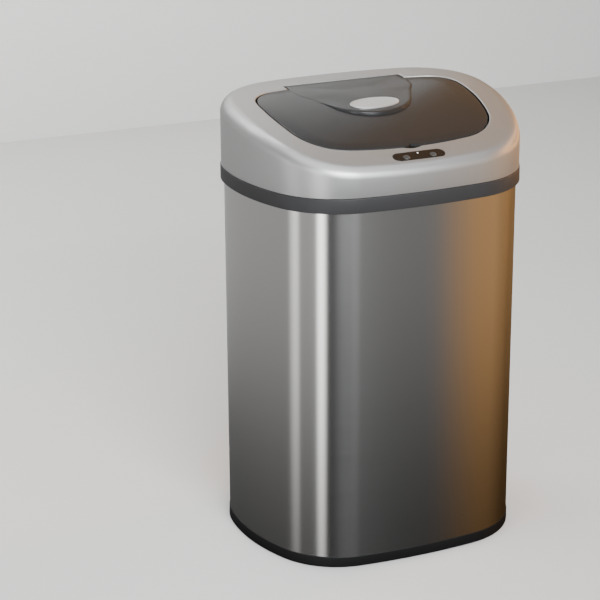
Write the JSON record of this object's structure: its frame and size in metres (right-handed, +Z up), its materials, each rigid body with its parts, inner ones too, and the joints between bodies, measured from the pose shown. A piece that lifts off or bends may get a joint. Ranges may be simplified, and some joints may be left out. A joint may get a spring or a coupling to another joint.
{
  "type": "sensor trash can",
  "caption": "Free-standing kitchen waste bin with a brushed steel body, a black bag ring and a silver head whose smoky flap opens on a geared rear hinge.",
  "frame": {"origin": "centre of the footprint on the floor", "axes": "+Z up, -Y towards the front with the sensor panel, +X to the right seen from the front"},
  "size_m": [0.4598, 0.3668, 0.7079],
  "materials": {
    "brushed_steel": "horizontal brushing",
    "silver_cover": "satin metallic",
    "black_plastic": "fine matte",
    "rubber": "matte",
    "smoke_gloss": "gloss",
    "badge_silver": "satin",
    "panel_gloss": "gloss",
    "button_grey": "gloss",
    "lamp_white": "clear",
    "bright_steel": "turned",
    "bronze": "sintered",
    "gear_white": "moulded",
    "board_green": "lacquered",
    "cell_dark": "sleeved"
  },
  "bodies": {
    "bin": {"base_pan": "black_plastic", "rubber_feet": "rubber", "steel_shell": "brushed_steel"},
    "ring": {"bag_ring": "black_plastic"},
    "head": {"head_cover": "silver_cover", "under_frame": "black_plastic", "hinge_bushes": "bronze", "head_screws": "bright_steel", "gear_axles": "bright_steel", "gearbox_plate": "black_plastic", "gearbox_cover": "black_plastic", "gearbox_screws": "bright_steel", "drive_motor": "bright_steel", "battery_box": "black_plastic", "batteries": "cell_dark", "battery_contacts": "bright_steel", "switch_body": "black_plastic", "sensor_window": "panel_gloss", "status_lamp": "lamp_white", "infrared_eyes": "panel_gloss", "circuit_board": "board_green", "tact_switches": "board_green", "board_posts": "black_plastic", "board_screws": "bright_steel"},
    "flap": {"flap_panel": "smoke_gloss", "flap_liner": "black_plastic", "flap_badge": "badge_silver", "hinge_shaft": "bright_steel", "output_sector": "gear_white"},
    "gear_b": {"reduction_gear_b": "gear_white"},
    "gear_a": {"reduction_gear_a": "gear_white"},
    "pinion": {"motor_pinion": "gear_white"},
    "button_open": {"open_button": "button_grey"},
    "button_close": {"close_button": "button_grey"},
    "rocker": {"power_rocker": "black_plastic"},
    "door": {"battery_door": "silver_cover"}
  },
  "joints": [
    {"name": "head_lift", "type": "slide", "parent": "bin", "child": "head", "axis": [0, 0, 1], "range_m": [0, 0.15]},
    {"name": "ring_lift", "type": "slide", "parent": "bin", "child": "ring", "axis": [0, 0, 1], "range_m": [0, 0.06]},
    {"name": "flap_hinge", "type": "hinge", "parent": "head", "child": "flap", "pos_m": [0, 0.111, 0.699], "axis": [-1, 0, 0], "range_deg": [0, 75]},
    {"name": "gear_b_spin", "type": "hinge", "parent": "head", "child": "gear_b", "pos_m": [0.136, 0.111, 0.6813], "axis": [-1, 0, 0], "range_deg": [-202, 2]},
    {"name": "gear_a_spin", "type": "hinge", "parent": "head", "child": "gear_a", "pos_m": [0.142, 0.12641, 0.66968], "axis": [-1, 0, 0], "range_deg": [-2, 602]},
    {"name": "pinion_spin", "type": "hinge", "parent": "head", "child": "pinion", "pos_m": [0.145, 0.14183, 0.65807], "axis": [-1, 0, 0], "range_deg": [-1802, 2]},
    {"name": "open_press", "type": "slide", "parent": "head", "child": "button_open", "axis": [0, 0.3444, -0.9388], "range_m": [0, 0.001], "stiffness_N_per_m": 500},
    {"name": "close_press", "type": "slide", "parent": "head", "child": "button_close", "axis": [0, 0.3444, -0.9388], "range_m": [0, 0.001], "stiffness_N_per_m": 500},
    {"name": "power_tilt", "type": "hinge", "parent": "head", "child": "rocker", "pos_m": [-0.11172, 0.1725, 0.64], "axis": [0.9904, 0.1381, 0], "range_deg": [0, 16]},
    {"name": "door_pull", "type": "slide", "parent": "head", "child": "door", "axis": [0, 1, 0], "range_m": [0, 0.06]}
  ],
  "couplings": [
    {"joint": "ring_lift", "follows": "head_lift", "ratio": 0.4},
    {"joint": "gear_b_spin", "follows": "flap_hinge", "ratio": -2.6667},
    {"joint": "gear_a_spin", "follows": "flap_hinge", "ratio": 8},
    {"joint": "pinion_spin", "follows": "flap_hinge", "ratio": -24}
  ]
}
